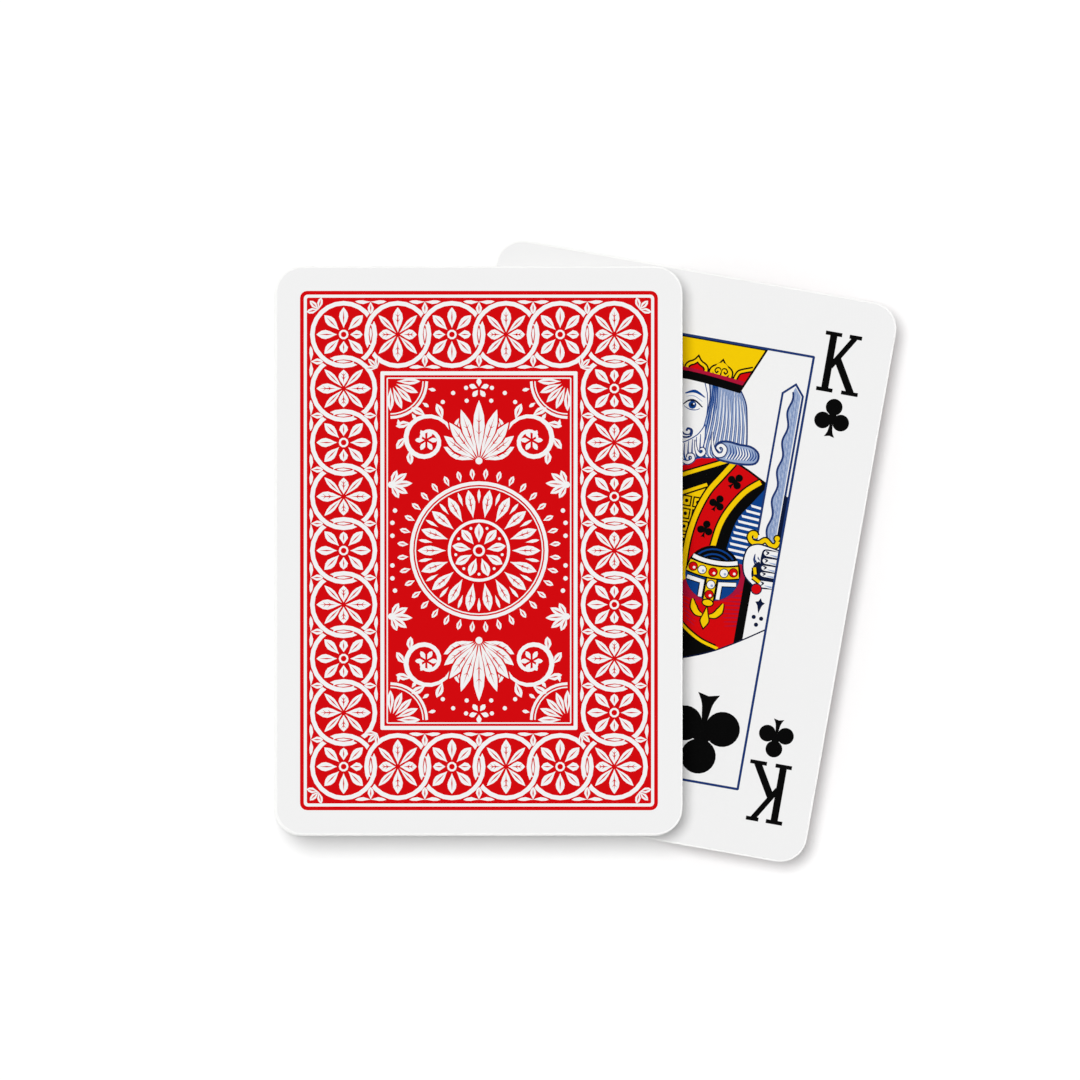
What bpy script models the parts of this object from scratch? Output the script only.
"""A deck of playing cards, modelled as 54 separate cards.

The pack lies squared and face down. One court card, in the middle of the pack, lies face up,
drawn out to one side and turned a little. Lengths are in metres, +Z is up, and the origin is
the middle of the pack's underside.
"""
import math

import bpy

# The card blank
CARD_WIDTH = 0.063
CARD_LENGTH = 0.088
CORNER_RADIUS = 0.0042
STOCK_THICKNESS = 0.00029
CORNER_STEPS = 6

# The pack: the air film between two cards, and how far a card strays from the squared pack
CARD_CLEARANCE = 0.00002
JOG = 0.00012

# The court card that is drawn out face up, with its shift along +X and its turn seen from above
DRAWN_CARD = "king_of_clubs"
DRAW_DISTANCE = 0.0268
DRAW_TURN_DEG = -10.0

# The point where the pack is pinched when it is fanned, measured in from its near edge
FAN_PIVOT_INSET = 0.009

RANKS = (
    "ace", "two", "three", "four", "five", "six", "seven",
    "eight", "nine", "ten", "jack", "queen", "king",
)


def pack_order():
    """Name the cards from the bottom of the pack to the top, in the order of a new pack."""
    names = ["black_joker", "red_joker"]
    names += [f"{rank}_of_hearts" for rank in RANKS]
    names += [f"{rank}_of_clubs" for rank in RANKS]
    names += [f"{rank}_of_diamonds" for rank in reversed(RANKS)]
    names += [f"{rank}_of_spades" for rank in reversed(RANKS)]
    return names


def rounded_rectangle(width, length, radius, steps):
    """Points of a rectangle with four corner arcs, counter-clockwise from its right side."""
    points = []
    for corner in range(4):
        start = corner * math.pi / 2
        side_x = 1 if corner in (0, 3) else -1
        side_y = 1 if corner in (0, 1) else -1
        centre_x = side_x * (width / 2 - radius)
        centre_y = side_y * (length / 2 - radius)
        for step in range(steps + 1):
            angle = start + step / steps * math.pi / 2
            points.append((centre_x + radius * math.cos(angle), centre_y + radius * math.sin(angle)))
    return points


def stock_material(name, colour):
    """Coated card stock: a Principled surface of one colour with a soft sheen."""
    material = bpy.data.materials.new(name)
    material.use_nodes = True
    shader = material.node_tree.nodes["Principled BSDF"]
    shader.inputs["Base Color"].default_value = (*colour, 1.0)
    shader.inputs["Roughness"].default_value = 0.45
    shader.inputs["Metallic"].default_value = 0.0
    return material


def card_blank():
    """The die-cut blank that every card shares: a flat outline of the stock's thickness."""
    blank = bpy.data.curves.new("card_blank", "CURVE")
    blank.dimensions = "2D"
    blank.fill_mode = "BOTH"
    blank.extrude = STOCK_THICKNESS / 2
    outline = rounded_rectangle(CARD_WIDTH, CARD_LENGTH, CORNER_RADIUS, CORNER_STEPS)
    spline = blank.splines.new("POLY")
    spline.points.add(len(outline) - 1)
    for point, (x, y) in zip(spline.points, outline):
        point.co = (x, y, 0.0, 1.0)
    spline.use_cyclic_u = True
    return blank


def place_card(name, level, blank, material, collection, fan_pivot):
    """Lay one card on its level of the pack, face down unless it is the drawn card."""
    card = bpy.data.objects.new(name, blank)
    collection.objects.link(card)
    card.material_slots[0].link = "OBJECT"
    card.material_slots[0].material = material
    card.parent = fan_pivot
    height = level * (STOCK_THICKNESS + CARD_CLEARANCE) + STOCK_THICKNESS / 2
    if name == DRAWN_CARD:
        x, y = DRAW_DISTANCE, 0.0
        card.rotation_euler = (0.0, 0.0, math.radians(DRAW_TURN_DEG))
    else:
        x = JOG * math.sin(2.4 * level)
        y = JOG * math.cos(3.9 * level)
        card.rotation_euler = (0.0, math.pi, 0.0)
    card.location = (x - fan_pivot.location.x, y - fan_pivot.location.y, height)
    return card


for old in list(bpy.data.objects):
    bpy.data.objects.remove(old, do_unlink=True)

deck = bpy.data.collections.new("playing_card_deck")
bpy.context.scene.collection.children.link(deck)

# The fan's axis stands at the pinch point, and every card of the pack hangs on it
fan_pivot = bpy.data.objects.new("fan_pivot", None)
fan_pivot.location = (0.0, FAN_PIVOT_INSET - CARD_LENGTH / 2, 0.0)
deck.objects.link(fan_pivot)

red_back = stock_material("red_back", (0.62, 0.02, 0.025))
white_face = stock_material("white_face", (0.88, 0.88, 0.88))

blank = card_blank()
blank.materials.append(red_back)
for level, name in enumerate(pack_order()):
    finish = white_face if name == DRAWN_CARD else red_back
    place_card(name, level, blank, finish, deck, fan_pivot)
